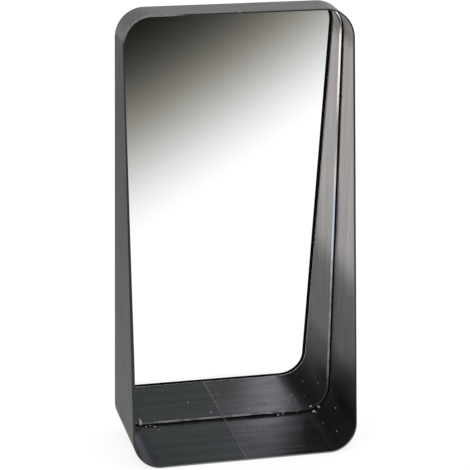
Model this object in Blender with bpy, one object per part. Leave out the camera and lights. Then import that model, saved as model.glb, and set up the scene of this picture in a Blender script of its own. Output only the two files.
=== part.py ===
"""Industrial wall mirror with a shelf: a tapered band of bent steel around a recessed mirror.

Metres, +Z up.  The origin is the middle of the underside, the front faces -Y, and the wall
is the plane y = WALL_Y.  Depths behind the mirror are measured from the glass's front face.
"""

import math

import bmesh
import bpy
from mathutils import Matrix, Vector

# The steel band.  Its front rim lies in one slanted plane, so that the bottom makes a shelf.
WIDTH = 0.400
HEIGHT = 0.770
DEPTH_BOTTOM = 0.180
DEPTH_TOP = 0.065
STEEL = 0.0025
CORNER_RADIUS = 0.050
CORNER_STEPS = 12

# The band is two bent halves, butt-welded in the middle of the shelf and of the top.
SEAM_WIDTH = 0.0022
SEAM_CROWN = 0.0002

# Touching pieces keep this gap.
GAP = 0.0003

# The stack behind the mirror's front face.
GLASS_SETBACK = 0.010
GLASS_THICKNESS = 0.003
GLASS_CLEARANCE = 0.0025
TAPE_THICKNESS = 0.0005
BOARD_THICKNESS = 0.0025
BOARD_CLEARANCE = 0.0030
BAR_THICKNESS = 0.0015

# Bonding tape: three upright strips.
TAPE_WIDTH = 0.019
TAPE_LENGTH = 0.600
TAPE_PITCH = 0.120
TAPE_CENTRE_Z = 0.360

# Rubber blocks that carry the glass.
BLOCK_LENGTH = 0.025
BLOCK_X = 0.095

# Nibs of weld that reach over the glass's edge and stop it from sliding forward.
TACK_RADIUS = 0.0012
TACK_HEIGHT = 0.0044
TACK_STEPS = 4
TACK_SEGMENTS = 16
SIDE_TACK_Z = (0.150, 0.290, 0.600)
SHELF_TACK_X = (-0.140, 0.085, 0.136)

# Two flat bars across the back, each screwed to a pair of angle lugs.
BAR_HEIGHT = 0.026
UPPER_BAR_Z = 0.706
LOWER_BAR_Z = 0.085
LUG_LEG = 0.016
LUG_HEIGHT = 0.016
LUG_THICKNESS = 0.002
LUG_WALL_DEPTH = 0.0035
LUG_BEAD = 0.0018
BAR_END_CLEARANCE = 0.0004
NOTCH_MARGIN = 0.002

# Keyholes of the upper bar, and the board's windows behind them.
KEYHOLE_X = 0.100
KEYHOLE_DROP = 0.0045
KEYHOLE_ENTRY_RADIUS = 0.005
KEYHOLE_SLOT_RADIUS = 0.0025
KEYHOLE_TRAVEL = 0.009
KEYHOLE_STEPS = 10
WINDOW_WIDTH = 0.030
WINDOW_HEIGHT = 0.022

# M3 thin-head screws.
SCREW_INSET = 0.0095
SCREW_SHANK_RADIUS = 0.0015
SCREW_HOLE_RADIUS = 0.0019
SCREW_HEAD_RADIUS = 0.0034
SCREW_HEAD_HEIGHT = 0.0012
SCREW_SHANK_LENGTH = 0.0046
SCREW_SEGMENTS = 24
DRILL_REACH = 0.008
RECESS_ARM = 0.0018
RECESS_HALF_WIDTH = 0.0004
RECESS_DEPTH = 0.0006

# Rubber discs between the lower bar and the wall.
PAD_RADIUS = 0.007
PAD_X = 0.120
PAD_SEGMENTS = 32

# Planes and depths that follow from the sizes above.
WALL_Y = DEPTH_BOTTOM / 2
FRONT_Y = -DEPTH_BOTTOM / 2
MIRROR_Y = WALL_Y - GLASS_SETBACK
TAPE_DEPTH = GLASS_THICKNESS + GAP
BOARD_DEPTH = TAPE_DEPTH + TAPE_THICKNESS + GAP
BAR_DEPTH = BOARD_DEPTH + BOARD_THICKNESS + GAP
INNER_X = WIDTH / 2 - STEEL
LUG_OUTER_X = INNER_X - GAP
LUG_INNER_X = LUG_OUTER_X - LUG_LEG
BAR_HALF_LENGTH = LUG_OUTER_X - LUG_THICKNESS - BAR_END_CLEARANCE
SCREW_X = INNER_X - SCREW_INSET

SIDES = {"left": -1, "right": 1}
TOWARDS_WALL = Matrix.Rotation(-math.pi / 2, 3, "X")
BARS = {"upper": UPPER_BAR_Z, "lower": LOWER_BAR_Z}

# Colour, roughness and metallic value of each material.
MATERIALS = {
    "band_steel": ((0.085, 0.088, 0.086), 0.42, 0.85),
    "weld_steel": ((0.200, 0.195, 0.185), 0.50, 0.90),
    "mirror": ((0.900, 0.905, 0.900), 0.03, 1.00),
    "hardboard": ((0.240, 0.150, 0.085), 0.80, 0.00),
    "tape": ((0.780, 0.780, 0.760), 0.70, 0.00),
    "rubber": ((0.025, 0.025, 0.025), 0.85, 0.00),
    "bar_steel": ((0.120, 0.120, 0.118), 0.50, 0.85),
    "zinc": ((0.520, 0.520, 0.500), 0.35, 1.00),
}


def rim_y(z):
    """Y of the band's front rim at height z."""
    return FRONT_Y + (DEPTH_BOTTOM - DEPTH_TOP) * z / HEIGHT


def depth_y(depth):
    """Y of a plane at the given depth behind the mirror's front face."""
    return MIRROR_Y + depth


def clear_scene():
    for existing in list(bpy.data.objects):
        bpy.data.objects.remove(existing, do_unlink=True)


def make_material(name, finish):
    colour, roughness, metallic = MATERIALS[finish]
    material = bpy.data.materials.new(name)
    material.use_nodes = True
    material.diffuse_color = (*colour, 1.0)
    shader = material.node_tree.nodes["Principled BSDF"]
    shader.inputs["Base Color"].default_value = (*colour, 1.0)
    shader.inputs["Roughness"].default_value = roughness
    shader.inputs["Metallic"].default_value = metallic
    return material


def add_object(name, bm, location, parent, smooth=False):
    """Turn a bmesh into a scene object whose origin is at location."""
    bmesh.ops.recalc_face_normals(bm, faces=bm.faces)
    mesh = bpy.data.meshes.new(name)
    bm.to_mesh(mesh)
    bm.free()
    if smooth:
        mesh.shade_smooth()
        mesh.set_sharp_from_angle(angle=math.radians(30))
    made = bpy.data.objects.new(name, mesh)
    bpy.context.scene.collection.objects.link(made)
    made.location = location
    made.parent = parent
    return made


def add_part(name, bm, location, finish, parent, smooth=False):
    """One sub-part, with a material of its own."""
    part = add_object(name, bm, location, parent, smooth)
    part.data.materials.append(make_material(name, finish))
    return part


def cut(part, name, bm, location, parent):
    """Subtract a hidden cutter from a part."""
    cutter = add_object(name, bm, location, parent)
    cutter.hide_render = True
    cutter.display_type = "WIRE"
    boolean = part.modifiers.new(name, "BOOLEAN")
    boolean.operation = "DIFFERENCE"
    boolean.solver = "EXACT"
    boolean.object = cutter


def arc(centre, radius, start, end, steps):
    """Points (x, z) on an arc, its two ends included; angles in degrees."""
    points = []
    for step in range(steps + 1):
        angle = math.radians(start + (end - start) * step / steps)
        points.append((centre[0] + radius * math.cos(angle), centre[1] + radius * math.sin(angle)))
    return points


def rounded_rectangle(width, height, radius):
    """Outline (x, z) of a rectangle with round corners, centred on the origin."""
    right = width / 2 - radius
    top = height / 2 - radius
    corners = (((right, -top), -90), ((right, top), 0), ((-right, top), 90), ((-right, -top), 180))
    outline = []
    for centre, start in corners:
        outline += arc(centre, radius, start, start + 90, CORNER_STEPS)
    return outline


def rectangle(width, height):
    half_x = width / 2
    half_z = height / 2
    return [(-half_x, -half_z), (half_x, -half_z), (half_x, half_z), (-half_x, half_z)]


def keyhole():
    """Outline (x, z) of a keyhole: a round entry at the origin and a slot going up from it."""
    meet = math.degrees(math.acos(KEYHOLE_SLOT_RADIUS / KEYHOLE_ENTRY_RADIUS))
    entry = arc((0, 0), KEYHOLE_ENTRY_RADIUS, meet, -180 - meet, 2 * KEYHOLE_STEPS)
    slot = arc((0, KEYHOLE_TRAVEL), KEYHOLE_SLOT_RADIUS, 180, 0, KEYHOLE_STEPS)
    return entry + slot


def cross():
    """Outline (x, z) of a cross recess."""
    long = RECESS_ARM
    short = RECESS_HALF_WIDTH
    corner = ((long, -short), (long, short), (short, short))
    outline = []
    for quarter in range(4):
        turn = Matrix.Rotation(quarter * math.pi / 2, 2)
        outline += [tuple(turn @ Vector(point)) for point in corner]
    return outline


def joined(first, last):
    """Closed body between two outlines with the same number of points (x, y, z)."""
    bm = bmesh.new()
    ends = [[bm.verts.new(point) for point in outline] for outline in (first, last)]
    start, end = ends
    bm.faces.new(start)
    bm.faces.new(end)
    for here in range(len(start)):
        after = (here + 1) % len(start)
        bm.faces.new((start[here], start[after], end[after], end[here]))
    return bm


def prism(outline, near, far):
    """Solid between y = near and y = far, with an (x, z) outline."""
    return joined([(x, near, z) for x, z in outline], [(x, far, z) for x, z in outline])


def upright_prism(outline, low, high):
    """Solid between z = low and z = high, with an (x, y) outline."""
    return joined([(x, y, low) for x, y in outline], [(x, y, high) for x, y in outline])


def turned(profile, segments, turn):
    """Closed body of revolution; its (radius, height) profile starts and ends on the axis."""
    bm = bmesh.new()
    rings = []
    for radius, height in profile:
        if radius == 0:
            ring = [bm.verts.new(turn @ Vector((0, 0, height)))] * segments
        else:
            angles = (2 * math.pi * step / segments for step in range(segments))
            points = (Vector((radius * math.cos(a), radius * math.sin(a), height)) for a in angles)
            ring = [bm.verts.new(turn @ point) for point in points]
        rings.append(ring)
    for lower, upper in zip(rings, rings[1:]):
        for here in range(segments):
            after = (here + 1) % segments
            corners = (lower[here], lower[after], upper[after], upper[here])
            bm.faces.new(dict.fromkeys(corners))
    return bm


def band_half(side):
    """One bent half: a strip that runs from the shelf's middle, up one side, to the top's middle."""
    arc_x = WIDTH / 2 - CORNER_RADIUS
    low = CORNER_RADIUS
    high = HEIGHT - CORNER_RADIUS
    stations = [(SEAM_WIDTH / 2, low, -90)]
    stations += [(arc_x, low, -90 + 90 * step / CORNER_STEPS) for step in range(CORNER_STEPS + 1)]
    stations += [(arc_x, high, 90 * step / CORNER_STEPS) for step in range(CORNER_STEPS + 1)]
    stations += [(SEAM_WIDTH / 2, high, 90)]

    bm = bmesh.new()
    sections = []
    for centre_x, centre_z, angle in stations:
        corners = []
        for radius in (CORNER_RADIUS, CORNER_RADIUS - STEEL):
            x = side * (centre_x + radius * math.cos(math.radians(angle)))
            z = centre_z + radius * math.sin(math.radians(angle))
            corners.append((bm.verts.new((x, rim_y(z), z)), bm.verts.new((x, WALL_Y, z))))
        (outer_front, outer_back), (inner_front, inner_back) = corners
        sections.append((outer_front, outer_back, inner_back, inner_front))
    for lower, upper in zip(sections, sections[1:]):
        for here in range(4):
            after = (here + 1) % 4
            bm.faces.new((lower[here], lower[after], upper[after], upper[here]))
    bm.faces.new(sections[0])
    bm.faces.new(sections[-1])
    return bm


def seam_bead(low, high):
    """Filler between the two halves, cut off in the rim's plane like the band."""
    half_width = SEAM_WIDTH / 2 - GAP
    section = [(rim_y(low), low), (WALL_Y, low), (WALL_Y, high), (rim_y(high), high)]
    return joined([(-half_width, y, z) for y, z in section], [(half_width, y, z) for y, z in section])


def angle_lug(side):
    """Cut length of steel angle: one leg on the side wall, the other level with the board."""
    outer = LUG_OUTER_X
    step = outer - LUG_THICKNESS
    near = depth_y(BOARD_DEPTH)
    mid = depth_y(BAR_DEPTH - GAP)
    far = near + LUG_WALL_DEPTH
    wall_leg = [(outer, near), (outer, far), (step, far), (step, mid)]
    outline = wall_leg + [(LUG_INNER_X, mid), (LUG_INNER_X, near)]
    return upright_prism([(side * x, y) for x, y in outline], -LUG_HEIGHT / 2, LUG_HEIGHT / 2)


def lug_bead(side):
    """Fillet weld along the rear edge of a lug's wall leg."""
    root_y = depth_y(BOARD_DEPTH) + LUG_WALL_DEPTH + GAP
    outline = [(LUG_OUTER_X, root_y), (LUG_OUTER_X, root_y + LUG_BEAD), (LUG_OUTER_X - LUG_BEAD, root_y)]
    return upright_prism([(side * x, y) for x, y in outline], -LUG_HEIGHT / 2, LUG_HEIGHT / 2)


def tack(turn):
    """Blunt nib of weld metal on a flat base."""
    profile = [(0, 0)]
    for step in range(TACK_STEPS):
        angle = math.pi / 2 * step / TACK_STEPS
        profile.append((TACK_RADIUS * math.cos(angle), TACK_HEIGHT * math.sin(angle)))
    profile.append((0, TACK_HEIGHT))
    return turned(profile, TACK_SEGMENTS, turn)


def build_band(root):
    for side_name, side in SIDES.items():
        add_part(f"frame_{side_name}", band_half(side), (0, 0, 0), "band_steel", root, smooth=True)
    shelf_bead = seam_bead(0, STEEL + SEAM_CROWN)
    top_bead = seam_bead(HEIGHT - STEEL - SEAM_CROWN, HEIGHT)
    add_part("shelf_weld_seam", shelf_bead, (0, 0, 0), "weld_steel", root)
    add_part("top_weld_seam", top_bead, (0, 0, 0), "weld_steel", root)


def build_tacks(root):
    tack_y = MIRROR_Y - GAP - TACK_RADIUS
    for side_name, side in SIDES.items():
        inward = Matrix.Rotation(-side * math.pi / 2, 3, "Y")
        for number, z in enumerate(SIDE_TACK_Z, start=1):
            place = (side * (INNER_X - GAP), tack_y, z)
            name = f"stop_tack_{side_name}_{number}"
            add_part(name, tack(inward), place, "weld_steel", root, smooth=True)
    for number, x in enumerate(SHELF_TACK_X, start=1):
        place = (x, tack_y, STEEL + GAP)
        upward = Matrix.Identity(3)
        add_part(f"stop_tack_shelf_{number}", tack(upward), place, "weld_steel", root, smooth=True)


def build_glass_stack(root):
    inner_width = WIDTH - 2 * STEEL
    inner_height = HEIGHT - 2 * STEEL
    inner_radius = CORNER_RADIUS - STEEL
    centre_z = HEIGHT / 2

    def plate(clearance, near, far):
        outline = rounded_rectangle(
            inner_width - 2 * clearance, inner_height - 2 * clearance, inner_radius - clearance
        )
        return prism(outline, near, far)

    glass = plate(GLASS_CLEARANCE, 0, GLASS_THICKNESS)
    add_part("mirror_glass", glass, (0, MIRROR_Y, centre_z), "mirror", root, smooth=True)

    for place, x in (("left", -TAPE_PITCH), ("middle", 0), ("right", TAPE_PITCH)):
        strip = prism(rectangle(TAPE_WIDTH, TAPE_LENGTH), 0, TAPE_THICKNESS)
        add_part(f"bond_tape_{place}", strip, (x, depth_y(TAPE_DEPTH), TAPE_CENTRE_Z), "tape", root)

    board_place = (0, depth_y(BOARD_DEPTH), centre_z)
    sheet = plate(BOARD_CLEARANCE, 0, BOARD_THICKNESS)
    board = add_part("backing_board", sheet, board_place, "hardboard", root, smooth=True)
    window_z = UPPER_BAR_Z - KEYHOLE_DROP + KEYHOLE_TRAVEL / 2
    past = BOARD_THICKNESS * 2
    notch_width = 2 * (INNER_X - LUG_INNER_X + NOTCH_MARGIN)
    notch_height = LUG_HEIGHT + 2 * NOTCH_MARGIN
    for side_name, side in SIDES.items():
        window = prism(rectangle(WINDOW_WIDTH, WINDOW_HEIGHT), -past, past)
        cut(board, f"window_{side_name}", window, (side * KEYHOLE_X, board_place[1], window_z), root)
        for bar_name, bar_z in BARS.items():
            notch = prism(rectangle(notch_width, notch_height), -past, past)
            notch_place = (side * INNER_X, board_place[1], bar_z)
            cut(board, f"notch_{bar_name}_{side_name}", notch, notch_place, root)

    block_height = GLASS_CLEARANCE - 2 * GAP
    for side_name, side in SIDES.items():
        block = prism(rectangle(BLOCK_LENGTH, block_height), 0, GLASS_THICKNESS)
        block_place = (side * BLOCK_X, MIRROR_Y, STEEL + GAP + block_height / 2)
        add_part(f"setting_block_{side_name}", block, block_place, "rubber", root)


def build_bars(root):
    names = {"upper": "hanging_bar", "lower": "lower_bar"}
    bars = {}
    for bar_name, bar_z in BARS.items():
        flat = prism(rectangle(2 * BAR_HALF_LENGTH, BAR_HEIGHT), 0, BAR_THICKNESS)
        bar_place = (0, depth_y(BAR_DEPTH), bar_z)
        bars[bar_name] = add_part(names[bar_name], flat, bar_place, "bar_steel", root)
    past = BAR_THICKNESS * 2
    for side_name, side in SIDES.items():
        keyhole_place = (side * KEYHOLE_X, depth_y(BAR_DEPTH), UPPER_BAR_Z - KEYHOLE_DROP)
        cut(bars["upper"], f"keyhole_{side_name}", prism(keyhole(), -past, past), keyhole_place, root)

    for bar_name, bar_z in BARS.items():
        for side_name, side in SIDES.items():
            suffix = f"{bar_name}_{side_name}"
            lug = add_part(f"lug_{suffix}", angle_lug(side), (0, 0, bar_z), "bar_steel", root)
            add_part(f"lug_weld_{suffix}", lug_bead(side), (0, 0, bar_z), "weld_steel", root)
            for piece, drilled in (("bar", bars[bar_name]), ("lug", lug)):
                hole = arc((0, 0), SCREW_HOLE_RADIUS, 0, 360, SCREW_SEGMENTS)[:-1]
                drill = prism(hole, -DRILL_REACH, DRILL_REACH)
                drill_place = (side * SCREW_X, depth_y(BAR_DEPTH), bar_z)
                cut(drilled, f"{piece}_drill_{suffix}", drill, drill_place, root)
            build_screw(suffix, side * SCREW_X, bar_z, root)


def build_screw(suffix, x, z, root):
    """Screw with its axis along Y; the origin is on the axis, under the head."""
    head_y = depth_y(BAR_DEPTH + BAR_THICKNESS + GAP)
    chamfer = SCREW_HEAD_HEIGHT / 3
    profile = [
        (0, -SCREW_SHANK_LENGTH),
        (SCREW_SHANK_RADIUS - chamfer, -SCREW_SHANK_LENGTH),
        (SCREW_SHANK_RADIUS, -SCREW_SHANK_LENGTH + chamfer),
        (SCREW_SHANK_RADIUS, 0),
        (SCREW_HEAD_RADIUS, 0),
        (SCREW_HEAD_RADIUS, SCREW_HEAD_HEIGHT - chamfer),
        (SCREW_HEAD_RADIUS - chamfer, SCREW_HEAD_HEIGHT),
        (0, SCREW_HEAD_HEIGHT),
    ]
    body = turned(profile, SCREW_SEGMENTS, TOWARDS_WALL)
    screw = add_part(f"bar_screw_{suffix}", body, (x, head_y, z), "zinc", root, smooth=True)
    recess = prism(cross(), SCREW_HEAD_HEIGHT - RECESS_DEPTH, SCREW_HEAD_HEIGHT + RECESS_DEPTH)
    cut(screw, f"recess_{suffix}", recess, (x, head_y, z), root)


def build_pads(root):
    base = BAR_DEPTH + BAR_THICKNESS + GAP
    thickness = GLASS_SETBACK - base
    profile = [(0, 0), (PAD_RADIUS, 0), (PAD_RADIUS, thickness), (0, thickness)]
    for side_name, side in SIDES.items():
        disc = turned(profile, PAD_SEGMENTS, TOWARDS_WALL)
        pad_place = (side * PAD_X, depth_y(base), LOWER_BAR_Z)
        add_part(f"wall_pad_{side_name}", disc, pad_place, "rubber", root, smooth=True)


def main():
    clear_scene()
    root = bpy.data.objects.new("wall_mirror", None)
    bpy.context.scene.collection.objects.link(root)
    build_band(root)
    build_tacks(root)
    build_glass_stack(root)
    build_bars(root)
    build_pads(root)


main()
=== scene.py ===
"""Looks of the wall mirror: brushed blackened steel, a ground-edge mirror, welds and the plain back."""

import math

import bmesh
import bpy
from mathutils import Matrix, Vector, noise


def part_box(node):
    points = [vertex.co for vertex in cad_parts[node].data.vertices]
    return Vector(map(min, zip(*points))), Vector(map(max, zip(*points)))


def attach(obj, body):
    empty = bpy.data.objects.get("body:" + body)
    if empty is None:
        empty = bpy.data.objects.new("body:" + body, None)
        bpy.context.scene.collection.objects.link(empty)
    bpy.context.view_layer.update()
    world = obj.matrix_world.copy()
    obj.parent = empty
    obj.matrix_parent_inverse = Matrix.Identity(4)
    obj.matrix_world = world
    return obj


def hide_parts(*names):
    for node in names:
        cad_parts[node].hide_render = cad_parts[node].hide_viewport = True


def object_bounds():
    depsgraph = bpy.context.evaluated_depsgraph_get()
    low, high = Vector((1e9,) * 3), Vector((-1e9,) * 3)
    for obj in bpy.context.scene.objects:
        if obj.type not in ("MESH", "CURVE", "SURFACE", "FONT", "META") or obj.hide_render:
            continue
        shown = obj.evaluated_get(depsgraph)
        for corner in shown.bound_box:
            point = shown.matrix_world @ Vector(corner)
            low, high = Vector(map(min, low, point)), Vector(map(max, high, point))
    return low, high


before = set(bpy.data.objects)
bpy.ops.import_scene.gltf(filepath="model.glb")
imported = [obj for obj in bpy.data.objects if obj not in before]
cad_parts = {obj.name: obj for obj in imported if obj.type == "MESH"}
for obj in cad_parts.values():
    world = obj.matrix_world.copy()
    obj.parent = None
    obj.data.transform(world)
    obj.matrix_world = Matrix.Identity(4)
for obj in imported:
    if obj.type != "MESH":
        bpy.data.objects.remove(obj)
cad_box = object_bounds()

# The overall box, and the steel band's section and bends.
LEFT, FRONT, BOTTOM = cad_box[0]
RIGHT, WALL, TOP = cad_box[1]
STEEL = 0.0025
CORNER_RADIUS = 0.050
DEPTH_TOP = 0.065
SEAM_HALF_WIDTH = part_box("frame_right")[0].x
RIM_SLOPE = (WALL - DEPTH_TOP - FRONT) / (TOP - BOTTOM)

# The mirror. Its ground arris leans inward, so the silvered face lies ARRIS_RISE behind the rim.
GLASS_LOW, GLASS_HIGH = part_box("mirror_glass")
MIRROR = GLASS_LOW.y
GLASS_THICKNESS = GLASS_HIGH.y - GLASS_LOW.y
ARRIS_WIDTH = 0.0036
ARRIS_RISE = 0.00060
GLASS_CHAMFER = 0.0003
BARE_EDGE_START = 0.00070

# How far in front of the mirror the shadow and dirt in the gap round the glass begin.
GAP_SHADOW = 0.0035

# Half the flat of the shelf, from the seam to where a bend begins.
SHELF_HALF = RIGHT - CORNER_RADIUS

# How finely the band is divided, and how its edges are rounded. HOLDING_LOOP is where the flat of a
# face begins beside a rounding.
STATION_STEP = 0.007
BEND_STEPS = 22
DEPTH_STEPS = 18
FRONT_ROUNDING = 0.0006
REAR_ROUNDING = 0.0003
ROUNDING_STEPS = 3
HOLDING_LOOP = 0.0009

# Hand-worked unevenness: how far the sheet dishes inward, and how far the rim wanders.
DISH_DEPTH = 0.00022
DISH_LENGTH = 0.085
RIM_WANDER = 0.00035
RIM_WANDER_LENGTH = 0.030

# The left wall's rim is hammered over to the inside between two heights. The lip grows over
# LIP_RISE at the bottom and fades over LIP_FALL at the top.
LIP_WIDTH = 0.0030
LIP_LOW = 0.060
LIP_RISE = 0.056
LIP_HIGH = 0.660
LIP_FALL = 0.460

# How uneven the nibs and drops of weld metal are, as shares of their size.
NIB_LUMPS = 0.20
NIB_LUMP_SCALE = 1.7
NIB_GRAIN = 0.06
NIB_GRAIN_SCALE = 6.0
DROP_MEAN = 0.85
DROP_LUMPS = 0.35
DROP_LUMP_SCALE = 1.4

# Edges sharper than this, in degrees, stay crisp on steel, and on the glass every facet does.
SHARP_ANGLE = 40
FACET_ANGLE = 3

# Softened edges of the rear pieces.
SOFT_STEEL = 0.0003
SOFT_RUBBER = 0.0002
SOFT_SCREW = 0.0001

# The viewpoint, found from the band's outline.
CAMERA_TARGET = Vector((0.0131, 0.080, 0.356))
CAMERA_AZIMUTH = math.radians(-14.249)
CAMERA_ELEVATION = math.radians(19.591)
CAMERA_ROLL = math.radians(1.178)
CAMERA_DISTANCE = 3.5803
CAMERA_LENS = 155.94
CAMERA_BACK = Vector((
    math.sin(CAMERA_AZIMUTH) * math.cos(CAMERA_ELEVATION),
    -math.cos(CAMERA_AZIMUTH) * math.cos(CAMERA_ELEVATION),
    math.sin(CAMERA_ELEVATION),
))
VIEWPOINT = CAMERA_TARGET + CAMERA_BACK * CAMERA_DISTANCE


# ---------------------------------------------------------------------------------------------
# Node recipes
# ---------------------------------------------------------------------------------------------


class Recipe:
    """One material and short ways to add nodes to it."""

    def __init__(self, name):
        self.material = bpy.data.materials.new(name)
        self.material.use_nodes = True
        self.tree = self.material.node_tree
        self.shader = self.tree.nodes["Principled BSDF"]

    def node(self, kind, **settings):
        made = self.tree.nodes.new("ShaderNode" + kind)
        for key, value in settings.items():
            setattr(made, key, value)
        return made

    def put(self, value, socket):
        """Link an output to a socket, or set the socket to a number or a colour."""
        if isinstance(value, bpy.types.NodeSocket):
            self.tree.links.new(value, socket)
        else:
            socket.default_value = value

    def math(self, operation, first, second):
        made = self.node("Math", operation=operation)
        self.put(first, made.inputs[0])
        self.put(second, made.inputs[1])
        return made.outputs[0]

    def add(self, first, second):
        return self.math("ADD", first, second)

    def times(self, first, second):
        return self.math("MULTIPLY", first, second)

    def most(self, first, second):
        return self.math("MAXIMUM", first, second)

    def least(self, first, second):
        return self.math("MINIMUM", first, second)

    def inverse(self, value):
        return self.math("SUBTRACT", 1.0, value)

    def fade(self, value, start, end, low=0.0, high=1.0):
        """Ease from low to high as value goes from start to end."""
        made = self.node("MapRange", interpolation_type="SMOOTHSTEP", clamp=True)
        self.put(value, made.inputs["Value"])
        self.put(start, made.inputs["From Min"])
        self.put(end, made.inputs["From Max"])
        self.put(low, made.inputs["To Min"])
        self.put(high, made.inputs["To Max"])
        return made.outputs["Result"]

    def mix_value(self, share, value):
        """1 where share is 0, and the value where it is 1."""
        return self.add(self.inverse(share), self.times(share, value))

    def mix(self, share, first, second, how="MIX"):
        made = self.node("Mix", data_type="RGBA", blend_type=how)
        self.put(share, made.inputs[0])
        for value, socket in ((first, made.inputs[6]), (second, made.inputs[7])):
            self.put((*value, 1.0) if isinstance(value, tuple) else value, socket)
        return made.outputs[2]

    def named(self, attribute):
        return self.node("Attribute", attribute_name=attribute).outputs["Vector"]

    def place(self):
        return self.node("TexCoord").outputs["Object"]

    def split(self, vector):
        made = self.node("SeparateXYZ")
        self.put(vector, made.inputs[0])
        return made.outputs

    def stretch(self, vector, by):
        made = self.node("VectorMath", operation="MULTIPLY")
        self.put(vector, made.inputs[0])
        self.put(by, made.inputs[1])
        return made.outputs[0]

    def noise(self, vector, scale=1.0, detail=2.0, roughness=0.5, distortion=0.0):
        made = self.node("TexNoise")
        self.put(vector, made.inputs["Vector"])
        self.put(scale, made.inputs["Scale"])
        self.put(detail, made.inputs["Detail"])
        self.put(roughness, made.inputs["Roughness"])
        self.put(distortion, made.inputs["Distortion"])
        return made.outputs[0]

    def window(self, value, low, high, soft):
        """1 between low and high, and 0 outside, with soft borders."""
        return self.times(
            self.fade(value, low - soft, low + soft), self.fade(value, high + soft, high - soft)
        )

    def grey(self, value):
        """Colour with this value in all three channels."""
        made = self.node("CombineXYZ")
        for socket in made.inputs:
            self.put(value, socket)
        return made.outputs[0]

    def cells(self, vector, scale):
        """Distance to the nearest of a field of random points."""
        made = self.node("TexVoronoi")
        self.put(vector, made.inputs["Vector"])
        self.put(scale, made.inputs["Scale"])
        return made.outputs["Distance"]

    def bump(self, height, depth, strength=1.0, under=None):
        """Relief of the given depth in metres, on top of another relief if there is one."""
        made = self.node("Bump")
        self.put(strength, made.inputs["Strength"])
        self.put(depth, made.inputs["Distance"])
        self.put(height, made.inputs["Height"])
        if under is not None:
            self.put(under, made.inputs["Normal"])
        return made.outputs[0]

    def finish(self, colour=None, roughness=None, metallic=None, normal=None, **fixed):
        sockets = {"Base Color": colour, "Roughness": roughness, "Metallic": metallic, "Normal": normal}
        for name, value in sockets.items():
            if value is not None:
                self.put((*value, 1.0) if isinstance(value, tuple) else value, self.shader.inputs[name])
        for name, value in fixed.items():
            self.shader.inputs[name.replace("_", " ")].default_value = value
        return self.material


# ---------------------------------------------------------------------------------------------
# Materials
# ---------------------------------------------------------------------------------------------


# How fine each layer of the steel's grain is along the band, across it and through it.
STREAKS = (7.0, 330.0, 9.0)
HAIRLINES = (22.0, 2600.0, 9.0)
TINT_BANDS = (2.6, 52.0, 13.0)
STROKES = (6.0, 210.0, 5.0)
CLOUDS = (11.0, 17.0, 11.0)
RAGGED = (160.0, 500.0, 30.0)

# Heights over which one tone of the band gives way to the next, in metres: inside, the darker shelf
# colours give way to the lighter wall colours going up, and low on the right wall and in its bend the
# colour darkens in steps. Both are painted shade.
SHELF_FACE = (0.012, 0.006)
SHELF_TO_WALL = (0.10, 0.42)
SHADE_UPPER = (0.36, 0.25)
SHADE_LOWER = (0.15, 0.10)
DEEP_SHADE = (0.105, 0.055)

# Distances from the rim over which its black ends, outside and inside the walls.
SHEARED_WIDTH = (0.0013, 0.0008)
SHEARED_WIDTH_INSIDE = (0.0058, 0.0042)
GAP_SOFTNESS = 0.0010

# How the painted shade low on the right wall is shared between its upper and lower part, and how much it
# and the deeper painted shade below it cover.
SHADE_UPPER_SHARE = 0.75
SHADE_COVER = 0.75
DEEP_SHADE_COVER = 0.6

# Colours of the band besides its wax. The first two are painted shade low on the right wall and in its
# bend.
SHADE_COLOUR = (0.012, 0.013, 0.010)
DEEP_SHADE_COLOUR = (0.003, 0.003, 0.002)
SHEARED_COLOUR = (0.010, 0.011, 0.010)
BARE_COLOUR = (0.42, 0.43, 0.42)
REAR_LINE_COLOUR = (0.012, 0.012, 0.012)

# How dull the wax outside, the bare metal and the dirt are.
OUTER_HAZE = 0.22
BARE_ROUGHNESS = 0.42
DIRT_ROUGHNESS = 1.0


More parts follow.
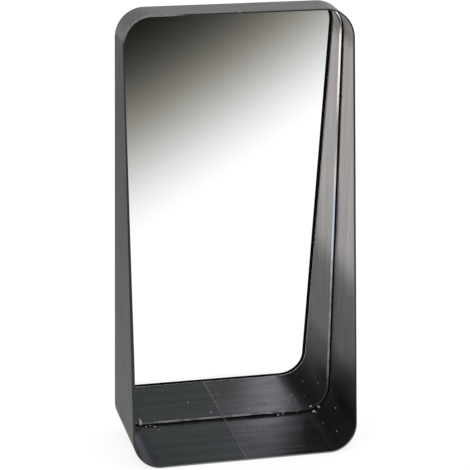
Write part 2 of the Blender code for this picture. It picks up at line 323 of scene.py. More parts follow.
class BandSteel(Recipe):
    """Blackened, waxed steel, brushed along the band. Each method gives one part of the finish, or of
    the shade painted on it.
    """

    def __init__(self, name):
        super().__init__(name)
        strip = self.named("strip")
        self.along = self.split(strip)["X"]
        self.inside = self.split(strip)["Z"]
        self.outside = self.inverse(self.inside)
        edge = self.split(self.named("edge"))
        self.from_rim = edge["X"]
        self.from_wall = edge["Y"]
        self.x, self.y, self.z = self.split(self.place())
        self.on_shelf = self.times(self.inside, self.fade(self.z, *SHELF_FACE))

        self.streaks = self.noise(self.stretch(strip, STREAKS), detail=4.0, roughness=0.6)
        self.hairlines = self.noise(self.stretch(strip, HAIRLINES), detail=2.0)
        self.bands = self.noise(self.stretch(strip, TINT_BANDS), detail=3.0)
        self.strokes = self.noise(self.stretch(strip, STROKES), detail=5.0, roughness=0.7)
        self.clouds = self.noise(self.stretch(strip, CLOUDS), detail=4.0, roughness=0.6, distortion=0.6)
        self.ragged = self.noise(self.stretch(strip, RAGGED), detail=3.0)

    def low_right_shade(self):
        """Painted shade low on the right wall and in the bend below it, where the wax is also duller."""
        bent = self.fade(self.along, SHELF_HALF - 0.016, SHELF_HALF + 0.022)
        upper = self.fade(self.z, *SHADE_UPPER, 0.0, SHADE_UPPER_SHARE)
        lower = self.fade(self.z, *SHADE_LOWER, 0.0, 1.0 - SHADE_UPPER_SHARE)
        return self.times(self.times(bent, self.inside), self.add(upper, lower))

    def wax(self, outer, shelf, wall):
        """Greenish and mauve bands, with one pair of colours for each stretch of the band. Inside, the
        darker shelf pair gives way to the lighter wall pair going up: painted shade low inside the band.
        """
        hue = self.add(self.times(self.bands, 0.65), self.times(self.clouds, 0.35))
        hue = self.fade(hue, 0.42, 0.58)
        within = self.mix(self.fade(self.z, *SHELF_TO_WALL), self.mix(hue, *shelf), self.mix(hue, *wall))
        return self.mix(self.inside, self.mix(hue, *outer), within)

    def brushing(self):
        """How light the brush marks make the steel, with scratches on the shelf, and the right of the
        shelf darker towards the front.
        """
        value = self.add(0.55, self.times(self.fade(self.streaks, 0.30, 0.72), 0.40))
        value = self.add(value, self.times(self.fade(self.strokes, 0.32, 0.74), 0.20))
        value = self.add(value, self.times(self.fade(self.bands, 0.34, 0.68), 0.20))
        scratches = self.times(self.fade(self.strokes, 0.56, 0.66), self.on_shelf)
        scratches = self.times(scratches, self.fade(self.clouds, 0.45, 0.60))
        value = self.add(value, self.times(scratches, 0.55))
        right_shelf = self.times(self.on_shelf, self.fade(self.x, 0.0, 0.03))
        return self.times(value, self.mix_value(right_shelf, self.fade(self.y, 0.02, -0.04, 1.0, 0.70)))

    def wear(self, haze, low_shade):
        """Roughness of the wax: duller where the shade is painted low on the right wall, in the left
        bend and under the top.
        """
        rough = self.add(self.times(self.inside, haze), self.times(self.outside, OUTER_HAZE))
        rough = self.add(rough, self.times(self.fade(self.streaks, 0.30, 0.75), 0.08))
        rough = self.add(rough, self.times(self.fade(self.clouds, 0.45, 0.75), 0.05))
        rough = self.add(rough, self.times(low_shade, 0.45))
        left_bend = self.fade(self.along, 0.010 - SHELF_HALF, -0.015 - SHELF_HALF)
        left_bend = self.times(left_bend, self.fade(self.z, 0.10, 0.04))
        rough = self.add(rough, self.times(self.times(left_bend, self.inside), 0.16))
        under_top = self.times(self.inside, self.fade(self.z, 0.68, 0.73))
        return self.add(rough, self.times(under_top, 0.28))

    def sheared_rim(self):
        """The black rim of the sheet, which spreads to the inside of the walls."""
        walls = self.times(self.inside, self.fade(self.z, 0.05, 0.09))
        wide = self.times(walls, self.fade(self.from_rim, *SHEARED_WIDTH_INSIDE))
        return self.most(self.fade(self.from_rim, *SHEARED_WIDTH), wide)

    def gap_shade_and_dirt(self):
        """Shadow and dirt round the mirror and behind it."""
        start = WALL - MIRROR + GAP_SHADOW
        return self.times(self.inside, self.fade(self.from_wall, start, start - GAP_SOFTNESS))

    def rubbed_metal(self):
        """Bright metal where the rim is rubbed, and a smear where the joint on the top was ground."""
        top_left = self.times(self.window(self.z, 0.735, 0.90, 0.012), self.fade(self.x, -0.085, -0.13))
        low = self.times(self.fade(self.z, 0.030, 0.012), self.fade(self.x, -0.175, -0.11, 0.10, 0.90))
        low_right = self.times(self.fade(self.x, 0.0, 0.16), self.fade(self.z, 0.05, 0.02, 0.0, 0.25))
        rubbed = self.most(top_left, self.add(low, low_right))
        rubbed = self.times(rubbed, self.fade(self.ragged, 0.34, 0.52))
        rubbed = self.times(rubbed, self.fade(self.from_rim, 0.0007, 0.0003))
        smear = self.window(self.x, -0.014, -0.002, 0.012)
        smear = self.times(smear, self.window(self.y, 0.055, 0.070, 0.016))
        smear = self.times(smear, self.fade(self.z, 0.75, 0.76))
        smear = self.times(smear, self.times(self.outside, self.fade(self.streaks, 0.35, 0.70)))
        return self.most(rubbed, self.times(smear, 0.22))


def band_steel(name, outer, shelf, wall, haze):
    """Finish of one half of the band, with its painted shade.

    outer, shelf and wall are (green, mauve) pairs of colours, and haze is how dull the wax inside is.
    """
    r = BandSteel(name)
    low_shade = r.low_right_shade()
    deep_shade = r.times(low_shade, r.fade(r.z, *DEEP_SHADE))
    behind = r.gap_shade_and_dirt()
    black = r.most(r.sheared_rim(), behind)
    bare = r.rubbed_metal()

    colour = r.wax(outer, shelf, wall)
    # Painted shade: the lower right wall and its bend darken, and lowest down they are darker still.
    colour = r.mix(r.times(low_shade, SHADE_COVER), colour, SHADE_COLOUR)
    colour = r.mix(r.times(deep_shade, DEEP_SHADE_COVER), colour, DEEP_SHADE_COLOUR)
    colour = r.mix(1.0, colour, r.grey(r.brushing()), how="MULTIPLY")
    colour = r.mix(black, colour, SHEARED_COLOUR)
    colour = r.mix(bare, colour, BARE_COLOUR)
    rear_line = r.times(r.outside, r.fade(r.from_wall, 0.008, 0.003))
    colour = r.mix(r.times(rear_line, 0.35), colour, REAR_LINE_COLOUR)

    waxy = r.times(r.on_shelf, r.fade(r.along, 0.088, 0.130))
    dull = r.most(r.times(low_shade, 0.74), r.times(waxy, 0.30))
    metal = r.most(r.inverse(r.most(black, dull)), bare)
    rough = r.mix(r.most(black, bare), r.grey(r.wear(haze, low_shade)), (BARE_ROUGHNESS,) * 3)
    rough = r.mix(behind, rough, (DIRT_ROUGHNESS,) * 3)
    shine = r.times(r.inverse(r.times(low_shade, 0.25)), r.inverse(behind))
    shine = r.times(shine, r.inverse(r.times(deep_shade, DEEP_SHADE_COVER)))
    r.put(r.times(shine, 0.5), r.shader.inputs["Specular IOR Level"])
    relief = r.bump(r.hairlines, 0.00002, 0.35)
    relief = r.bump(r.streaks, 0.00004, 0.30, relief)
    return r.finish(colour, rough, metal, relief)


def weld_metal(name):
    """Grey, slightly rough weld bead."""
    r = Recipe(name)
    at = r.place()
    cloud = r.noise(at, 900.0, 4.0)
    colour = r.mix(r.fade(cloud, 0.35, 0.65), (0.22, 0.22, 0.22), (0.40, 0.40, 0.39))
    return r.finish(colour, r.fade(cloud, 0.3, 0.7, 0.35, 0.55), 0.85, r.bump(cloud, 0.0001, 0.4))


def drop_metal_painted_highlight(name):
    """Spatter metal painted near white, much brighter than the welds: a painted highlight, as if the
    light caught it from most sides.
    """
    r = Recipe(name)
    cloud = r.noise(r.place(), 700.0, 3.0)
    colour = r.mix(r.fade(cloud, 0.35, 0.65), (0.70, 0.70, 0.69), (0.95, 0.95, 0.93))
    return r.finish(colour, r.fade(cloud, 0.3, 0.7, 0.35, 0.55), 0.1, r.bump(cloud, 0.0001, 0.4))


def mirror_silver(name):
    """Silver that is almost clean, with a few blind specks close to the shelf."""
    r = Recipe(name)
    at = r.place()
    haze = r.noise(r.stretch(at, (1.0, 1.0, 1.4)), 26.0, 3.0)
    low = r.fade(r.split(at)["Z"], 0.062, 0.040)
    low = r.times(low, r.fade(r.noise(at, 30.0, 2.0), 0.52, 0.62))
    speck = r.times(r.times(r.fade(r.cells(at, 85.0), 0.20, 0.09), low), 0.5)
    colour = r.mix(speck, (0.955, 0.962, 0.955), (0.50, 0.52, 0.54))
    rough = r.add(r.fade(haze, 0.62, 0.80, 0.0, 0.012), r.times(speck, 0.5))
    return r.finish(colour, rough, r.inverse(speck))


# Heights over which the arris changes from soiled to grey, bluish, silvery and shaded. Its darkening
# further down and under the top is painted shade, and low down it is soiled as well.
ARRIS_SOILED_AND_SHADED = (0.10, 0.03)
ARRIS_GREY_TO_PALE = (0.25, 0.33)
ARRIS_BLUE_TO_SILVER = (0.40, 0.47)
ARRIS_SHADED = (0.705, 0.730)


def ground_glass(name):
    """Hand-ground arris: silvery high up, grey further down, and dirty along the shelf. The darkening
    further down, along the shelf, in the lower right corner and under the top is painted shade.
    """
    r = Recipe(name)
    at = r.place()
    grain = r.noise(at, 1500.0, 3.0)
    patch = r.noise(at, 42.0, 3.0)
    x = r.split(at)["X"]
    height = r.split(at)["Z"]
    pale = r.mix(r.fade(height, *ARRIS_BLUE_TO_SILVER), (0.50, 0.54, 0.68), (0.98, 0.92, 0.89))
    grey = r.mix(r.fade(patch, 0.40, 0.60), (0.30, 0.33, 0.30), (0.46, 0.49, 0.46))
    soiled_and_shaded = r.mix(r.fade(patch, 0.42, 0.58), (0.22, 0.23, 0.23), (0.46, 0.47, 0.48))
    colour = r.mix(r.fade(height, *ARRIS_GREY_TO_PALE), grey, pale)
    colour = r.mix(r.fade(height, *ARRIS_SOILED_AND_SHADED), colour, soiled_and_shaded)
    # Painted shade in the lower right corner.
    lower_right = r.times(r.fade(height, 0.085, 0.045), r.fade(x, 0.125, 0.150))
    colour = r.mix(r.times(lower_right, 0.85), colour, (0.020, 0.020, 0.018))
    colour = r.mix(r.fade(height, *ARRIS_SHADED), colour, (0.20, 0.17, 0.17))
    metal = r.fade(height, 0.20, 0.34, 0.25, 1.0)
    rough = r.add(r.fade(grain, 0.3, 0.7, 0.05, 0.12), r.times(r.inverse(metal), 0.4))
    return r.finish(colour, rough, metal, r.bump(grain, 0.00001, 0.2))


def glass_edge(name):
    """Dark green cut edge of the glass."""
    r = Recipe(name)
    at = r.place()
    grain = r.noise(at, 800.0, 3.0)
    colour = r.mix(r.fade(grain, 0.3, 0.7), (0.010, 0.022, 0.018), (0.03, 0.055, 0.045))
    return r.finish(colour, 0.30, 0.0, r.bump(grain, 0.00005, 0.4))


def back_paint(name):
    """Grey paint over the silver."""
    r = Recipe(name)
    cloud = r.noise(r.place(), 120.0, 3.0)
    colour = r.mix(cloud, (0.26, 0.27, 0.28), (0.33, 0.34, 0.35))
    return r.finish(colour, 0.55, 0.0, r.bump(cloud, 0.00008, 0.3))


def hardboard(name):
    """Brown pressed fibre with darker damp patches."""
    r = Recipe(name)
    at = r.place()
    fibre = r.noise(r.stretch(at, (900.0, 900.0, 240.0)), 1.0, 4.0, 0.65)
    cloud = r.noise(at, 18.0, 3.0)
    colour = r.mix(r.fade(fibre, 0.3, 0.7), (0.115, 0.066, 0.036), (0.235, 0.145, 0.083))
    colour = r.mix(r.fade(cloud, 0.35, 0.7, 0.0, 0.35), colour, (0.085, 0.052, 0.032))
    return r.finish(colour, r.fade(fibre, 0.3, 0.7, 0.6, 0.85), 0.0, r.bump(fibre, 0.0002, 0.6))


def bar_steel(name):
    """Mill steel with streaks and a few rusty patches."""
    r = Recipe(name)
    at = r.place()
    streak = r.noise(r.stretch(at, (14.0, 600.0, 700.0)), 1.0, 4.0)
    cloud = r.noise(at, 45.0, 4.0)
    colour = r.mix(r.fade(streak, 0.3, 0.7), (0.045, 0.047, 0.047), (0.13, 0.13, 0.128))
    colour = r.mix(r.fade(cloud, 0.58, 0.78, 0.0, 0.5), colour, (0.11, 0.065, 0.045))
    return r.finish(colour, r.fade(cloud, 0.3, 0.7, 0.28, 0.52), 1.0, r.bump(streak, 0.00006, 0.4))


def rubber(name):
    """Black rubber with dust on it."""
    r = Recipe(name)
    at = r.place()
    grain = r.noise(at, 2400.0, 3.0)
    dust = r.noise(at, 160.0, 3.0)
    colour = r.mix(r.fade(dust, 0.45, 0.8), (0.018, 0.018, 0.018), (0.06, 0.058, 0.055))
    return r.finish(colour, r.fade(dust, 0.3, 0.7, 0.6, 0.85), 0.0, r.bump(grain, 0.0001, 0.5))


def tape(name):
    """White foam tape."""
    r = Recipe(name)
    at = r.place()
    foam = r.noise(at, 1900.0, 3.0)
    colour = r.mix(foam, (0.62, 0.62, 0.60), (0.82, 0.82, 0.80))
    return r.finish(colour, 0.8, 0.0, r.bump(foam, 0.0001, 0.6))


def zinc(name):
    """Zinc plating with a fine spangle."""
    r = Recipe(name)
    at = r.place()
    spangle = r.noise(at, 1100.0, 3.0)
    colour = r.mix(r.fade(spangle, 0.3, 0.7), (0.42, 0.42, 0.40), (0.66, 0.65, 0.60))
    return r.finish(colour, r.fade(spangle, 0.3, 0.7, 0.25, 0.45), 1.0, r.bump(spangle, 0.00005, 0.4))


def floor_paper(name):
    """White paper that is almost as bright in the object's shade as beside it."""
    r = Recipe(name)
    grain = r.noise(r.place(), 600.0, 3.0)
    colour = r.mix(grain, (0.26, 0.26, 0.26), (0.28, 0.28, 0.28))
    r.finish(colour, 0.9, 0.0, r.bump(grain, 0.0001, 0.2), Specular_IOR_Level=0.0)
    r.shader.inputs["Emission Color"].default_value = (1.0, 1.0, 1.0, 1.0)
    r.shader.inputs["Emission Strength"].default_value = FLOOR_GLOW
    return r.material


# ---------------------------------------------------------------------------------------------
# Meshes
# ---------------------------------------------------------------------------------------------


def rim_y(z):
    """Y of the band's front rim at height z."""
    return FRONT + RIM_SLOPE * (z - BOTTOM)


def wave(point, length):
    """Smooth random value from 0 to 1."""
    return 0.5 + 0.5 * noise.noise(point / length)


def band_stations():
    """(bend centre, direction, distance) of each station from the shelf's seam to the top's seam.

    The outer face is CORNER_RADIUS from the centre in that direction; the distance is along it.
    """
    arc_x = RIGHT - CORNER_RADIUS
    low = BOTTOM + CORNER_RADIUS
    high = TOP - CORNER_RADIUS
    flat = arc_x - SEAM_HALF_WIDTH
    wall = high - low
    bend = CORNER_RADIUS * math.pi / 2
    stations = []

    def straight(start, end, angle, distance):
        steps = max(1, round((end - start).length / STATION_STEP))
        for step in range(steps):
            share = step / steps
            stations.append((start.lerp(end, share), angle, distance + share * (end - start).length))

    def turn(centre, start, distance):
        for step in range(BEND_STEPS):
            share = step / BEND_STEPS
            stations.append((centre, start + 90 * share, distance + share * bend))

    shelf_seam = Vector((SEAM_HALF_WIDTH, low))
    low_bend = Vector((arc_x, low))
    high_bend = Vector((arc_x, high))
    top_seam = Vector((SEAM_HALF_WIDTH, high))
    straight(shelf_seam, low_bend, -90, 0)
    turn(low_bend, -90, flat)
    straight(low_bend, high_bend, 0, flat + bend)
    turn(high_bend, 0, flat + bend + wall)
    straight(high_bend, top_seam, 90, flat + 2 * bend + wall)
    stations.append((top_seam, 90, 2 * (flat + bend) + wall))
    made = []
    for centre, angle, distance in stations:
        direction = Vector((math.cos(math.radians(angle)), math.sin(math.radians(angle))))
        made.append((centre, direction, distance))
    return made


def band_section():
    """Closed outline of the sheet's section as (share, offset, depth through the sheet).

    The share runs from 0 at the front rim to 1 at the rear edge; the offset is added in metres.
    """
    def corner(radius, end, inner):
        points = []
        for step in range(ROUNDING_STEPS + 1):
            angle = math.radians(90 * step / ROUNDING_STEPS)
            inset = radius * (1 - math.sin(angle))
            depth = radius * (1 - math.cos(angle))
            points.append((end, inset if end == 0 else -inset, STEEL - depth if inner else depth))
        return points

    face = [(0, FRONT_ROUNDING + HOLDING_LOOP, 0)]
    face += [(step / DEPTH_STEPS, 0, 0) for step in range(1, DEPTH_STEPS)]
    face.append((1, -REAR_ROUNDING - HOLDING_LOOP, 0))
    inner_face = [(share, offset, STEEL) for share, offset, depth in face]
    section = corner(FRONT_ROUNDING, 0, False)[::-1] + face + corner(REAR_ROUNDING, 1, False)
    section += corner(REAR_ROUNDING, 1, True)[::-1] + inner_face[::-1] + corner(FRONT_ROUNDING, 0, True)
    return section


def lip(side, z):
    """How much wider than the sheet the band's rim is at height z."""
    if side > 0:
        return 0.0
    return LIP_WIDTH * max(0.0, min(1.0, (z - LIP_LOW) / LIP_RISE, (LIP_HIGH - z) / LIP_FALL))


def band_half(name, side, materials):
    """One bent half of the band, slightly uneven, with its own coordinates for the brushing."""
    bm = bmesh.new()
    strip = bm.verts.layers.float_vector.new("strip")
    edge = bm.verts.layers.float_vector.new("edge")
    section = band_section()
    rings = []
    for centre, direction, distance in band_stations():
        ring = []
        for share, offset, depth in section:
            flat = centre + direction * (CORNER_RADIUS - depth)
            front = rim_y(flat.y)
            along = Vector((side * distance, 0, 3.0 * side))
            front += RIM_WANDER * wave(along, RIM_WANDER_LENGTH)
            y = front + (WALL - front) * share + offset
            dish = DISH_DEPTH * wave(Vector((side * distance, y, 7.0 * side)), DISH_LENGTH)
            flat -= direction * dish
            if share == 0 and depth > STEEL / 2:
                flat -= direction * lip(side, flat.y)
            vert = bm.verts.new((side * flat.x, y, flat.y))
            vert[strip] = (side * distance, y, depth / STEEL)
            vert[edge] = (y - front, WALL - y, depth / STEEL)
            ring.append(vert)
        rings.append(ring)
    count = len(section)
    for first, second in zip(rings, rings[1:]):
        for here in range(count):
            after = (here + 1) % count
            bm.faces.new((first[here], first[after], second[after], second[here]))
    bm.faces.new(rings[0])
    bm.faces.new(rings[-1])
    return add_piece(name, bm, materials, sharp=SHARP_ANGLE)


def rounded_outline(half_x, half_z, radius, steps=18):
    """Outline (x, z) of a rectangle with round corners."""
    points = []
    corners = (((1, -1), -90), ((1, 1), 0), ((-1, 1), 90), ((-1, -1), 180))
    for (side, level), start in corners:
        for step in range(steps + 1):
            angle = math.radians(start + 90 * step / steps)
            x = side * (half_x - radius) + radius * math.cos(angle)
            z = level * (half_z - radius) + radius * math.sin(angle)
            points.append((x, z))
    return points


def glass_plate(name, materials):
    """Mirror with a ground front arris; its faces are mirror, ground arris, bare edge and paint."""
    middle = (GLASS_LOW + GLASS_HIGH) / 2
    half = (GLASS_HIGH - GLASS_LOW) / 2
    radius = CORNER_RADIUS - (RIGHT - GLASS_HIGH.x)
    rows = (
        (ARRIS_WIDTH, ARRIS_RISE),
        (GLASS_CHAMFER, 0.0),
        (0.0, BARE_EDGE_START),
        (0.0, GLASS_THICKNESS - GLASS_CHAMFER),
        (GLASS_CHAMFER, GLASS_THICKNESS),
    )
    kinds = (1, 1, 2, 2)
    bm = bmesh.new()
    loops = []
    for inset, depth in rows:
        outline = rounded_outline(half.x - inset, half.z - inset, radius - inset)
        loops.append([bm.verts.new((middle.x + x, MIRROR + depth, middle.z + z)) for x, z in outline])
    bm.faces.new(loops[0]).material_index = 0
    bm.faces.new(loops[-1]).material_index = 3
    for kind, first, second in zip(kinds, loops, loops[1:]):
        for here in range(len(first)):
            after = (here + 1) % len(first)
            face = bm.faces.new((first[here], first[after], second[after], second[here]))
            face.material_index = kind
    return add_piece(name, bm, materials, sharp=FACET_ANGLE)


def nib(name, node, material, seed):
    """Ragged nib of weld metal in the place of a stop tack."""
    low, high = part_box(node)
    middle = (low + high) / 2
    half = (high - low) / 2
    bm = bmesh.new()
    bmesh.ops.create_icosphere(bm, subdivisions=4, radius=1.0)
    for vert in bm.verts:
        lumps = noise.noise(vert.co * NIB_LUMP_SCALE + Vector((seed * 5.0, 0, 0)))
        grain = noise.noise(vert.co * NIB_GRAIN_SCALE + Vector((0, seed * 3.0, 0)))
        spot = vert.co * (1.0 - NIB_LUMPS + NIB_LUMPS * lumps) * (1.0 + NIB_GRAIN * grain)
        vert.co = middle + spot * half
    return add_piece(name, bm, [material])


def add_piece(name, bm, materials, sharp=None):
    bmesh.ops.recalc_face_normals(bm, faces=bm.faces)
    mesh = bpy.data.meshes.new(name)
    bm.to_mesh(mesh)
    bm.free()
    for material in materials:
        mesh.materials.append(material)
    mesh.shade_smooth()
    if sharp is not None:
        mesh.set_sharp_from_angle(angle=math.radians(sharp))
    piece = bpy.data.objects.new(name, mesh)
    bpy.context.scene.collection.objects.link(piece)
    return piece


def stand_for(piece, node):
    """Show the piece in the place of a CAD node."""
    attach(piece, "root")
    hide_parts(node)


def dress(node, material, bevel=None):
    """Give a CAD node that stays a finish, and soften its edges."""
    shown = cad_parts[node]
    shown.data.materials.clear()
    shown.data.materials.append(material)
    if bevel:
        softened = shown.modifiers.new("soft_edges", "BEVEL")
        softened.width = bevel
        softened.segments = 2
        softened.limit_method = "ANGLE"
        softened.angle_limit = math.radians(SHARP_ANGLE)


# ---------------------------------------------------------------------------------------------
# The object
# ---------------------------------------------------------------------------------------------


def build_band():
    # Inside, the wall colours are lighter than the shelf colours: painted shade towards the shelf.
    left = band_steel(
        "band_steel_left",
        outer=((0.036, 0.050, 0.043), (0.046, 0.046, 0.048)),
        shelf=((0.058, 0.070, 0.072), (0.072, 0.076, 0.084)),
        wall=((0.150, 0.165, 0.150), (0.190, 0.160, 0.160)),
        haze=0.19,
    )
    right = band_steel(
        "band_steel_right",
        outer=((0.046, 0.050, 0.046), (0.054, 0.048, 0.050)),
        shelf=((0.070, 0.074, 0.080), (0.096, 0.088, 0.102)),
        wall=((0.206, 0.204, 0.194), (0.262, 0.210, 0.210)),
        haze=0.10,
    )
    for side_name, side, material in (("left", -1, left), ("right", 1, right)):
        half = band_half(f"steel_{side_name}", side, [material])
        stand_for(half, f"frame_{side_name}")


def build_glass():
    materials = [
        mirror_silver("silver"),
        ground_glass("ground_arris"),
        glass_edge("glass_edge"),
        back_paint("back_paint"),
    ]
    stand_for(glass_plate("silvered_glass", materials), "mirror_glass")


def spatter(name, place, size, material, seed):
    """Small drop of weld metal, wider than it is high, at a point on the band or the mirror."""
    bm = bmesh.new()
    bmesh.ops.create_icosphere(bm, subdivisions=3, radius=1.0)
    for vert in bm.verts:
        lumps = noise.noise(vert.co * DROP_LUMP_SCALE + Vector((seed * 2.3, seed * 0.7, 0)))
        spot = vert.co * (DROP_MEAN + DROP_LUMPS * lumps)
        vert.co = Vector(place) + spot * Vector(size)
    drop = add_piece(name, bm, [material])
    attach(drop, "root")


def build_spatter(material):
    """Drops left on the shelf and in its bends, most of them close to the mirror.

    Each has its name, its middle and half its size along each axis.
    """
    drops = (
        ("corner_left", (-0.1560, 0.0768, 0.0100), (0.0032, 0.0026, 0.0066)),
        ("left_1", (-0.1456, 0.0741, 0.0029), (0.0018, 0.0022, 0.0010)),
        ("left_2", (-0.1302, 0.0723, 0.0028), (0.0022, 0.0016, 0.0008)),
        ("left_3", (-0.1252, 0.0567, 0.0028), (0.0012, 0.0018, 0.0007)),
        ("left_4", (-0.1528, 0.0700, 0.0030), (0.0010, 0.0012, 0.0006)),
        ("left_5", (-0.1380, 0.0775, 0.0032), (0.0011, 0.0010, 0.0014)),
        ("bend_1", (0.1664, 0.0705, 0.0066), (0.0033, 0.0033, 0.0026)),
        ("bend_2", (0.1768, 0.0758, 0.0122), (0.0025, 0.0028, 0.0024)),
        ("bend_3", (0.1690, 0.0650, 0.0068), (0.0012, 0.0014, 0.0009)),
        ("shelf_1", (0.1003, 0.0764, 0.0029), (0.0022, 0.0015, 0.0010)),
        ("shelf_2", (0.1100, 0.0780, 0.0035), (0.0012, 0.0012, 0.0014)),
        ("front_1", (0.1686, 0.0192, 0.0066), (0.0010, 0.0016, 0.0007)),
        ("front_2", (0.1795, -0.0320, 0.0128), (0.0011, 0.0022, 0.0008)),
        ("wall_1", (0.1930, 0.0240, 0.0316), (0.0009, 0.0020, 0.0012)),
    )
    for number, (which, place, size) in enumerate(drops):
        spatter(f"spatter_{which}", place, size, material, number + 1)


def build_welds():
    weld = weld_metal("weld")
    build_spatter(drop_metal_painted_highlight("weld_drops_painted_highlight"))
    number = 0
    for place in ("left", "right", "shelf"):
        for which in (1, 2, 3):
            number += 1
            node = f"stop_tack_{place}_{which}"
            stand_for(nib(f"nib_{place}_{which}", node, weld, number), node)
    for node in ("shelf_weld_seam", "top_weld_seam"):
        dress(node, weld)
    for level in ("upper", "lower"):
        for side_name in ("left", "right"):
            dress(f"lug_weld_{level}_{side_name}", weld, SOFT_STEEL)


def build_back():
    bar = bar_steel("bar_steel")
    lug = bar_steel("lug_steel")
    black_rubber = rubber("rubber")
    foam = tape("foam_tape")
    plated = zinc("zinc")
    dress("backing_board", hardboard("hardboard"), SOFT_STEEL)
    for node in ("hanging_bar", "lower_bar"):
        dress(node, bar, SOFT_STEEL)
    for level in ("upper", "lower"):
        for side_name in ("left", "right"):
            dress(f"lug_{level}_{side_name}", lug, SOFT_STEEL)
            dress(f"bar_screw_{level}_{side_name}", plated, SOFT_SCREW)
    for side_name in ("left", "right"):
        dress(f"setting_block_{side_name}", black_rubber, SOFT_RUBBER)
        dress(f"wall_pad_{side_name}", black_rubber, SOFT_RUBBER)
    for place in ("left", "middle", "right"):
        dress(f"bond_tape_{place}", foam)


# ---------------------------------------------------------------------------------------------
# The studio
# ---------------------------------------------------------------------------------------------

# The floor, and the cards round the object that only reflections show. CARD_LIFT keeps a card above
# the floor, and FLOOR_DROP keeps the floor below the object.
FLOOR_SIZE = 60.0
FLOOR_DROP = 0.0004
FLOOR_GLOW = 0.80
CARD_LIFT = 0.001
CARD_HALF_WIDTH = 5.0
CARD_HEIGHT = 4.0
FLOOR_CARD_HALF_WIDTH = 4.0
FLOOR_CARD_GAP = 0.03
FRONT_CARD_DISTANCE = 3.2
REAR_CARD_DISTANCE = 4.0
SIDE_CARD_REACH = 5.0
SIDE_CARD_TUCK = 0.020

# How bright the sides of the room are; the last is the black of the card that paints a dark strip along
# the rim in reflections.
REAR_LIGHT = (0.71, 0.72, 0.71)
SIDE_LIGHT_NEAR = 0.44
SIDE_LIGHT_FAR = 0.35
ROOM_LIGHT = 0.08
EDGE_LIGHT = (0.004, 0.004, 0.004)

# The floor's gradient: how far it is from dark to white grows along x, along y and with their product.
GRADIENT_X = 0.354
GRADIENT_Y = 0.316
GRADIENT_XY = -0.033
GRADIENT_START = 1.243
GRADIENT_DARKEST = 0.953
GRADIENT_STEEPNESS = 196.0
FLOOR_BRIGHTEST = 1.08

# Left of this line, which moves to the right further from the object, the floor stays white.
BORDER_SLOPE = -0.333
BORDER_START = -0.456
BORDER_LEFTMOST = 0.04
BORDER_RIGHTMOST = 0.25
BORDER_SOFTNESS = 0.20

# The black card that paints a dark strip along the band's rim in the mirror, a painted reflection: how
# wide the strip looks, and how far the card reaches at most.
EDGE_WIDTH_WALL = 0.0066
EDGE_WIDTH_SHELF = 0.0050
EDGE_REACH = 0.040
EDGE_LEAST_LEAN = 0.02


def panel(name, corners, material, faces=None, glossy_only=True):
    """A flat stage panel; one that is glossy_only shows in reflections and nowhere else."""
    mesh = bpy.data.meshes.new(name)
    mesh.from_pydata(corners, [], faces or [tuple(range(len(corners)))])
    mesh.materials.append(material)
    made = bpy.data.objects.new(name, mesh)
    bpy.context.scene.collection.objects.link(made)
    if glossy_only:
        made.visible_camera = False
        made.visible_diffuse = False
        made.visible_transmission = False
        made.visible_volume_scatter = False
        made.visible_shadow = False


def glow(name, build):
    """Emission material; build(recipe) gives the colour."""
    r = Recipe(name)
    r.tree.nodes.remove(r.shader)
    light = r.node("Emission")
    r.put(build(r), light.inputs["Color"])
    r.put(light.outputs[0], r.tree.nodes["Material Output"].inputs["Surface"])
    return r.material


def upright(x_low, x_high, z_low, z_high, y):
    return [(x_low, y, z_low), (x_high, y, z_low), (x_high, y, z_high), (x_low, y, z_high)]


def lying(x_low, x_high, y_low, y_high):
    z = BOTTOM + CARD_LIFT
    return [(x_low, y_low, z), (x_high, y_low, z), (x_high, y_high, z), (x_low, y_high, z)]


def plain_light(colour):
    """Builds a light that has the same colour everywhere."""
    return lambda r: (*colour, 1.0)


def floor_light(r):
    """White near the object and left of it, and darker and warmer far in front of it."""
    at = r.split(r.place())
    x = at["X"]
    y = at["Y"]
    slant = r.add(r.times(x, GRADIENT_X), r.times(y, GRADIENT_Y))
    slant = r.add(slant, r.times(r.times(x, y), GRADIENT_XY))
    slant = r.least(r.most(r.add(slant, GRADIENT_START), 0.0), 1.0)
    eased = r.fade(slant, 0.0, 1.0)
    level = r.add(GRADIENT_DARKEST, r.times(eased, 1.0 - GRADIENT_DARKEST))
    level = r.math("POWER", level, GRADIENT_STEEPNESS)
    border = r.most(r.add(r.times(y, BORDER_SLOPE), BORDER_START), BORDER_LEFTMOST)
    border = r.least(border, BORDER_RIGHTMOST)
    level = r.most(level, r.fade(r.math("SUBTRACT", x, border), 0.0, -BORDER_SOFTNESS))
    tinted = r.mix(r.fade(level, 0.0, 0.7), (1.05, 1.00, 0.86), (1.0, 1.0, 1.0))
    return r.mix(1.0, tinted, r.grey(r.times(level, FLOOR_BRIGHTEST)), how="MULTIPLY")


def side_light(r):
    """Grey floor left of the object and behind it, a little brighter near it."""
    level = r.fade(r.split(r.place())["Y"], 0.2, 1.7, SIDE_LIGHT_NEAR, SIDE_LIGHT_FAR)
    return r.mix(1.0, r.grey(level), (0.97, 1.0, 0.97), how="MULTIPLY")


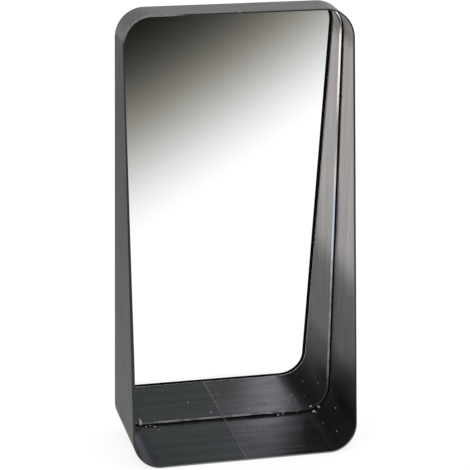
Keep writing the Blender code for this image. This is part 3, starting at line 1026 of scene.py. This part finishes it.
def front_light(r):
    """A dark room: a tall window, a dim one beside it, a light ahead and a bluish glow on the right."""
    at = r.split(r.place())
    x = at["X"]
    z = at["Z"]
    right_jamb = r.fade(x, 1.070, 1.028)
    dim = r.times(right_jamb, r.window(z, 1.15, 2.40, 0.10))
    dim = r.times(dim, r.fade(x, -0.15, 0.05))
    window = r.times(r.times(r.fade(x, 0.84, 0.99), right_jamb), r.fade(z, 1.70, 1.52))
    window = r.times(window, r.fade(z, 1.10, 1.30))
    ahead = r.times(r.window(x, -0.35, 0.30, 0.30), r.window(z, 0.10, 1.0, 0.30))
    level = r.add(ROOM_LIGHT, r.times(dim, 0.37))
    level = r.add(level, r.times(window, 1.45))
    level = r.add(level, r.times(ahead, 0.35))
    glow_right = r.times(r.window(x, 1.10, 2.60, 0.25), r.window(z, 0.05, 1.05, 0.30))
    cool = r.mix(r.times(glow_right, 0.90), (0.0, 0.0, 0.0), (0.85, 0.80, 1.0))
    violet = r.mix(window, (0.97, 1.0, 1.0), (1.0, 0.97, 1.08))
    lit = r.mix(1.0, violet, r.grey(level), how="MULTIPLY")
    return r.mix(1.0, lit, cool, how="ADD")


def sight(point):
    """How the view of a point in the mirror goes on into the room, for each metre along y."""
    seen_from = Vector((VIEWPOINT.x, 2 * MIRROR - VIEWPOINT.y, VIEWPOINT.z))
    way = point - seen_from
    return way / -way.y


def rim_outline():
    """(point, outward direction) along the inner corner of the front rim."""
    half_x = RIGHT - STEEL
    half_z = (TOP - BOTTOM) / 2 - STEEL
    middle_z = (TOP + BOTTOM) / 2
    radius = CORNER_RADIUS - STEEL
    points = []
    outline = rounded_outline(half_x, half_z, radius)
    last_corner = len(outline) * 3 // 4
    for x, z in outline[last_corner:] + outline[:last_corner]:
        centre = Vector((math.copysign(half_x - radius, x), 0, math.copysign(half_z - radius, z)))
        outward = (Vector((x, 0, z)) - centre).normalized()
        points.append((Vector((x, rim_y(z + middle_z), z + middle_z)), outward))
    return points


def painted_rim_reflection_strip():
    """Black card, seen only in reflections, that paints a dark strip along the band's rim in the mirror
    (a painted reflection), and is edge-on when seen in the band.
    """
    inner = []
    outer = []
    for point, outward in rim_outline():
        way = sight(point)
        leaning = way.dot(outward)
        lower_left = point.x < LEFT + CORNER_RADIUS - STEEL / 2
        if lower_left or leaning < EDGE_LEAST_LEAN:
            continue
        bounced = way - 2 * leaning * outward
        width = EDGE_WIDTH_SHELF + (EDGE_WIDTH_WALL - EDGE_WIDTH_SHELF) * abs(outward.x)
        inner.append(point)
        outer.append(point + bounced * min(width / (2 * leaning), EDGE_REACH))
    return strip_between(inner, outer)


def strip_between(first, second):
    """Corners and faces of the strip between two lines of points."""
    count = len(first)
    faces = [(here, here + 1, count + here + 1, count + here) for here in range(count - 1)]
    return [tuple(point) for point in first + second], faces


def build_studio():
    scene = bpy.context.scene
    world = bpy.data.worlds.new("studio")
    world.use_nodes = True
    world.node_tree.nodes["Background"].inputs["Color"].default_value = (1.0, 1.0, 1.0, 1.0)
    world.node_tree.nodes["Background"].inputs["Strength"].default_value = 1.0
    scene.world = world
    scene.view_settings.view_transform = "Standard"

    half = FLOOR_SIZE / 2
    z = BOTTOM - FLOOR_DROP
    corners = [(-half, -half, z), (half, -half, z), (half, half, z), (-half, half, z)]
    panel("floor", corners, floor_paper("floor_paper"), glossy_only=False)

    side = FLOOR_CARD_HALF_WIDTH
    corners = lying(-side, side, -FRONT_CARD_DISTANCE, FRONT - FLOOR_CARD_GAP)
    panel("floor_card", corners, glow("floor_light", floor_light))
    corners = upright(-CARD_HALF_WIDTH, CARD_HALF_WIDTH, 0.0, CARD_HEIGHT, -FRONT_CARD_DISTANCE)
    panel("front_card", corners, glow("front_light", front_light))
    corners = lying(-side, LEFT + SIDE_CARD_TUCK, FRONT, SIDE_CARD_REACH)
    panel("left_card", corners, glow("left_light", side_light))
    corners = upright(-CARD_HALF_WIDTH, CARD_HALF_WIDTH, 0.0, CARD_HEIGHT, REAR_CARD_DISTANCE)
    panel("rear_card", corners, glow("rear_light", plain_light(REAR_LIGHT)))
    corners, faces = painted_rim_reflection_strip()
    panel("painted_rim_reflection_card", corners, glow("painted_rim_reflection_black", plain_light(EDGE_LIGHT)), faces)


def build_camera():
    level = Vector((math.cos(CAMERA_AZIMUTH), math.sin(CAMERA_AZIMUTH), 0))
    upward = CAMERA_BACK.cross(level)
    across = math.cos(CAMERA_ROLL) * level + math.sin(CAMERA_ROLL) * upward
    up = math.cos(CAMERA_ROLL) * upward - math.sin(CAMERA_ROLL) * level
    camera = bpy.data.objects.new("camera", bpy.data.cameras.new("camera"))
    bpy.context.scene.collection.objects.link(camera)
    camera.data.lens = CAMERA_LENS
    camera.data.clip_end = 100.0
    camera.matrix_world = Matrix.Translation(VIEWPOINT) @ Matrix(
        (across, up, CAMERA_BACK)
    ).transposed().to_4x4()
    bpy.context.scene.camera = camera


build_band()
build_glass()
build_welds()
build_back()
build_studio()
build_camera()
